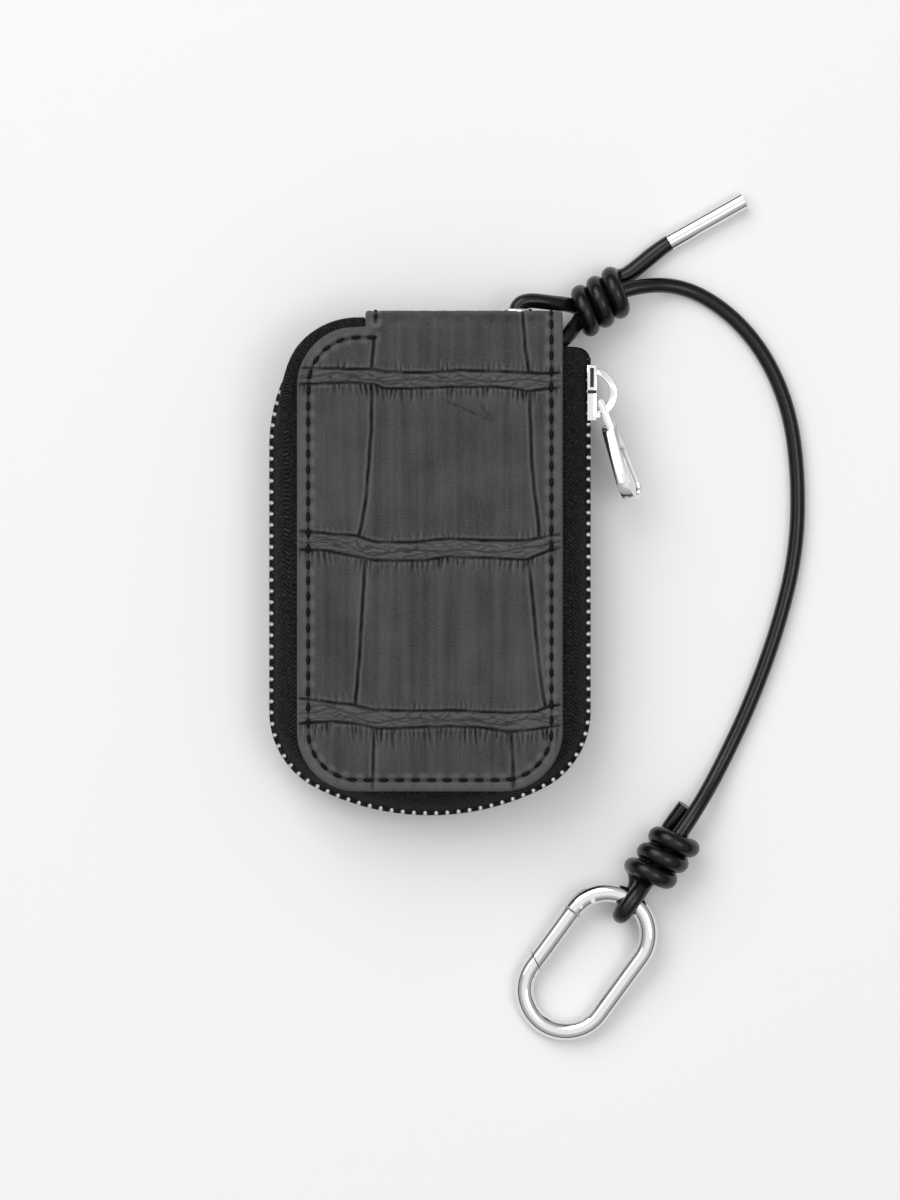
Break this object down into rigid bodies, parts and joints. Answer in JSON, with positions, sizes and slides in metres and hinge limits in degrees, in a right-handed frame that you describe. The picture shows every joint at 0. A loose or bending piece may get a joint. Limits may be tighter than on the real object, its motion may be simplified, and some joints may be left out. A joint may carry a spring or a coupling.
{
  "type": "key case",
  "caption": "Zip-around leather key case with a folding front, key hooks inside, and a knotted carry cord ending in a spring-gate carabiner.",
  "frame": {"origin": "middle of the flat back face, midway between the panel's sides", "axes": "+X across the case towards the zip slider's side, +Y towards the spine, +Z out of the front panel"},
  "size_m": [0.1075, 0.1702, 0.02],
  "materials": {
    "leather_shell": "matte, embossed with large square crocodile scales",
    "stiffener_board": "grey bonded board",
    "lining_cloth": "smooth black lining",
    "zip_tape": "herringbone twill tape",
    "zip_metal": "bright nickel",
    "slider_metal": "polished nickel",
    "eyelet_metal": "polished nickel",
    "key_metal": "satin nickel plate",
    "cord": "round waxed cord with a soft sheen",
    "ferrule_metal": "polished nickel tube",
    "carabiner_metal": "polished nickel wire",
    "spring_steel": "plain spring steel"
  },
  "bodies": {
    "case_back": {"back_cover": "leather_shell", "spine_cover": "leather_shell", "spine_lining": "lining_cloth", "back_board": "stiffener_board", "back_lining": "lining_cloth", "back_zip_tape": "zip_tape", "back_zip_teeth": "zip_metal", "back_zip_stops": "zip_metal", "eyelet": "eyelet_metal", "eyelet_washer": "eyelet_metal", "key_plate": "key_metal", "key_bar": "key_metal", "key_plate_rivets": "key_metal", "cord_inner_bight": "cord", "upper_knot": "cord", "cord_tail": "cord", "cord_ferrule": "ferrule_metal", "cord_main": "cord", "cord_end_loop": "cord", "lower_knot": "cord"},
    "case_front": {"front_cover": "leather_shell", "front_board": "stiffener_board", "front_lining": "lining_cloth", "front_zip_tape": "zip_tape", "front_zip_teeth": "zip_metal", "front_zip_stops": "zip_metal"},
    "slider": {"zip_slider": "slider_metal"},
    "puller": {"zip_puller": "slider_metal"},
    "carabiner": {"carabiner_body": "carabiner_metal", "gate_pins": "carabiner_metal", "gate_spring": "spring_steel"},
    "gate": {"carabiner_gate": "carabiner_metal"},
    "hook_1": {"key_hook_1": "key_metal"},
    "hook_2": {"key_hook_2": "key_metal"},
    "hook_3": {"key_hook_3": "key_metal"},
    "hook_4": {"key_hook_4": "key_metal"}
  },
  "joints": [
    {"name": "front_fold", "type": "hinge", "parent": "case_back", "child": "case_front", "pos_m": [0, 0.0463, 0.0193], "axis": [-1, 0, 0], "range_deg": [0, 115]},
    {"name": "slider_run", "type": "slide", "parent": "case_back", "child": "slider", "axis": [0, -1, 0], "range_m": [0, 0.056]},
    {"name": "puller_swing", "type": "hinge", "parent": "slider", "child": "puller", "pos_m": [0.0342, 0.0321, 0.01], "axis": [0, 0, 1], "range_deg": [-10, 105]},
    {"name": "carabiner_swing", "type": "hinge", "parent": "case_back", "child": "carabiner", "pos_m": [0.04038, -0.06749, 0.0052], "axis": [-0.809, 0.5878, 0], "range_deg": [0, 100]},
    {"name": "gate_open", "type": "hinge", "parent": "carabiner", "child": "gate", "pos_m": [0.03026, -0.06849, 0.00447], "axis": [-0.063, -0.0867, 0.9942], "range_deg": [0, 28], "stiffness_Nm_per_rad": 0.02, "springref_deg": -17.19},
    {"name": "hook_1_swing", "type": "hinge", "parent": "case_back", "child": "hook_1", "pos_m": [-0.0129, 0.0342, 0.0052], "axis": [-1, 0, 0], "range_deg": [-4, 25]},
    {"name": "hook_2_swing", "type": "hinge", "parent": "case_back", "child": "hook_2", "pos_m": [-0.0043, 0.0342, 0.0052], "axis": [-1, 0, 0], "range_deg": [-4, 25]},
    {"name": "hook_3_swing", "type": "hinge", "parent": "case_back", "child": "hook_3", "pos_m": [0.0043, 0.0342, 0.0052], "axis": [-1, 0, 0], "range_deg": [-4, 25]},
    {"name": "hook_4_swing", "type": "hinge", "parent": "case_back", "child": "hook_4", "pos_m": [0.0129, 0.0342, 0.0052], "axis": [-1, 0, 0], "range_deg": [-4, 25]}
  ]
}
